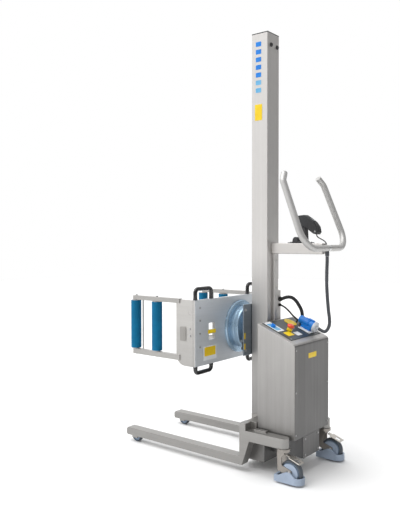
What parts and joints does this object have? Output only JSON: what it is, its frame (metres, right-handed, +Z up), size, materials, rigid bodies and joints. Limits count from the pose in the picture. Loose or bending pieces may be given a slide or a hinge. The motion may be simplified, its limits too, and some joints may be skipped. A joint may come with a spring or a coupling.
{
  "type": "mobile column roll lifter",
  "caption": "Mobile column lifter: a wheeled base with low legs, a mast with a lifting squeeze-and-turn roll clamp, a control cabinet and a pushing handlebar.",
  "frame": {"origin": "on the floor under the middle of the machine's box", "axes": "+Z up, -Y towards the load, +Y towards the operator, +X the machine's left"},
  "size_m": [0.709, 1.2807, 2.432],
  "materials": {
    "steel": "brushed stainless, satin",
    "bright_steel": "machined, bright",
    "plastic_black": "moulded, satin",
    "handle_black": "moulded, glossy",
    "panel": "laminate",
    "sleeve": "smooth teal sleeve",
    "guard": "moulded",
    "tread": "dark tread on a grey core",
    "blue": "moulded",
    "pale": "moulded",
    "yellow": "moulded",
    "red": "moulded",
    "hose": "smooth jacket",
    "conduit": "ribbed conduit",
    "motor": "painted"
  },
  "bodies": {
    "chassis": {"crossbeam": "steel", "left_leg": "steel", "right_leg": "steel", "ballast_box": "steel", "drive_box": "steel", "mast_column": "steel", "mast_cap": "plastic_black", "lift_motor": "motor", "rear_duct": "steel", "side_junction": "steel", "cabinet_shell": "steel", "cabinet_floor": "steel", "battery_pack": "plastic_black", "control_panel": "panel", "stop_collar": "yellow", "inlet_socket": "blue", "cable_plug": "pale", "hose_gland": "plastic_black", "handle_beam": "steel", "handlebar": "steel", "handle_gland": "plastic_black", "pendant_holder": "plastic_black", "pendant": "plastic_black", "handle_conduit": "conduit", "mast_hose": "hose", "signal_cable": "hose", "pendant_cable": "hose"},
    "lift_carriage": {"carriage": "steel", "turn_housing": "bright_steel"},
    "lift_screw": {"lift_screw": "bright_steel"},
    "lock_plunger": {"lock_plunger": "plastic_black"},
    "clamp_head": {"turn_flange": "bright_steel", "clamp_plate": "steel", "left_upper_handle": "handle_black", "left_lower_handle": "handle_black", "right_upper_handle": "handle_black", "right_lower_handle": "handle_black", "right_arm": "steel", "squeeze_motor": "motor"},
    "left_jaw": {"left_arm": "steel"},
    "squeeze_screw": {"squeeze_screw": "bright_steel"},
    "stop_button": {"stop_button": "red"},
    "main_switch": {"main_switch": "blue"},
    "pendant_rocker": {"pendant_rocker": "pale"},
    "left_front_wheel": {"left_front_wheel": "tread"},
    "left_swivel": {"left_caster_fork": "bright_steel", "left_caster_axle": "bright_steel", "left_toe_guard": "guard"},
    "left_rear_wheel": {"left_caster_wheel": "tread"},
    "left_pedal": {"left_brake_pedal": "bright_steel"},
    "right_front_wheel": {"right_front_wheel": "tread"},
    "right_swivel": {"right_caster_fork": "bright_steel", "right_caster_axle": "bright_steel", "right_toe_guard": "guard"},
    "right_rear_wheel": {"right_caster_wheel": "tread"},
    "right_pedal": {"right_brake_pedal": "bright_steel"},
    "left_front_roller": {"left_front_roller": "sleeve"},
    "left_rear_roller": {"left_rear_roller": "sleeve"},
    "right_front_roller": {"right_front_roller": "sleeve"},
    "right_rear_roller": {"right_rear_roller": "sleeve"}
  },
  "joints": [
    {"name": "lift", "type": "slide", "parent": "chassis", "child": "lift_carriage", "axis": [0, 0, 1], "range_m": [-0.32, 1.4]},
    {"name": "lift_screw_turn", "type": "hinge", "parent": "chassis", "child": "lift_screw", "pos_m": [-0.0845, 0.2297, 1.4], "axis": [0, 0, 1], "continuous": true},
    {"name": "clamp_turn", "type": "hinge", "parent": "lift_carriage", "child": "clamp_head", "pos_m": [-0.0845, 0.0597, 0.758], "axis": [0, 1, 0], "range_deg": [-180, 180]},
    {"name": "lock_plunger_pull", "type": "slide", "parent": "lift_carriage", "child": "lock_plunger", "axis": [0, 0, -1], "range_m": [0, 0.012], "stiffness_N_per_m": 400, "springref_m": -0.002},
    {"name": "squeeze", "type": "slide", "parent": "clamp_head", "child": "left_jaw", "axis": [-1, 0, 0], "range_m": [0, 0.3]},
    {"name": "squeeze_screw_turn", "type": "hinge", "parent": "clamp_head", "child": "squeeze_screw", "pos_m": [-0.0845, 0.0177, 0.87], "axis": [1, 0, 0], "continuous": true},
    {"name": "stop_press", "type": "slide", "parent": "chassis", "child": "stop_button", "axis": [0, -0.3853, -0.9228], "range_m": [0, 0.005], "stiffness_N_per_m": 1000, "springref_m": -0.001},
    {"name": "main_switch_turn", "type": "hinge", "parent": "chassis", "child": "main_switch", "pos_m": [0.0435, 0.36168, 0.79065], "axis": [0, 0.3853, 0.9228], "range_deg": [0, 90]},
    {"name": "pendant_rock", "type": "hinge", "parent": "chassis", "child": "pendant_rocker", "pos_m": [-0.0845, 0.5342, 1.375], "axis": [1, 0, 0], "range_deg": [-8, 8], "stiffness_Nm_per_rad": 0.5},
    {"name": "left_front_spin", "type": "hinge", "parent": "chassis", "child": "left_front_wheel", "pos_m": [0.1455, -0.5703, 0.0375], "axis": [1, 0, 0], "continuous": true},
    {"name": "left_swivel_turn", "type": "hinge", "parent": "chassis", "child": "left_swivel", "pos_m": [0.1455, 0.4917, 0.17], "axis": [0, 0, 1], "continuous": true},
    {"name": "left_rear_spin", "type": "hinge", "parent": "left_swivel", "child": "left_rear_wheel", "pos_m": [0.1455, 0.5417, 0.0625], "axis": [1, 0, 0], "continuous": true},
    {"name": "left_brake_press", "type": "hinge", "parent": "left_swivel", "child": "left_pedal", "pos_m": [0.1455, 0.5177, 0.149], "axis": [1, 0, 0], "range_deg": [-8, 0]},
    {"name": "right_front_spin", "type": "hinge", "parent": "chassis", "child": "right_front_wheel", "pos_m": [-0.3145, -0.5703, 0.0375], "axis": [1, 0, 0], "continuous": true},
    {"name": "right_swivel_turn", "type": "hinge", "parent": "chassis", "child": "right_swivel", "pos_m": [-0.3145, 0.4917, 0.17], "axis": [0, 0, 1], "continuous": true},
    {"name": "right_rear_spin", "type": "hinge", "parent": "right_swivel", "child": "right_rear_wheel", "pos_m": [-0.3145, 0.5417, 0.0625], "axis": [1, 0, 0], "continuous": true},
    {"name": "right_brake_press", "type": "hinge", "parent": "right_swivel", "child": "right_pedal", "pos_m": [-0.3145, 0.5177, 0.149], "axis": [1, 0, 0], "range_deg": [-8, 0]},
    {"name": "left_front_roll", "type": "hinge", "parent": "left_jaw", "child": "left_front_roller", "pos_m": [0.3245, -0.4043, 0.78], "axis": [0, 0, 1], "continuous": true},
    {"name": "left_rear_roll", "type": "hinge", "parent": "left_jaw", "child": "left_rear_roller", "pos_m": [0.3245, -0.2388, 0.78], "axis": [0, 0, 1], "continuous": true},
    {"name": "right_front_roll", "type": "hinge", "parent": "clamp_head", "child": "right_front_roller", "pos_m": [-0.3111, -0.4043, 0.78], "axis": [0, 0, 1], "continuous": true},
    {"name": "right_rear_roll", "type": "hinge", "parent": "clamp_head", "child": "right_rear_roller", "pos_m": [-0.3111, -0.2388, 0.78], "axis": [0, 0, 1], "continuous": true}
  ],
  "couplings": [
    {"joint": "lift_screw_turn", "follows": "lift", "rad_per_m": 314.16},
    {"joint": "squeeze_screw_turn", "follows": "squeeze", "rad_per_m": 628.32}
  ]
}
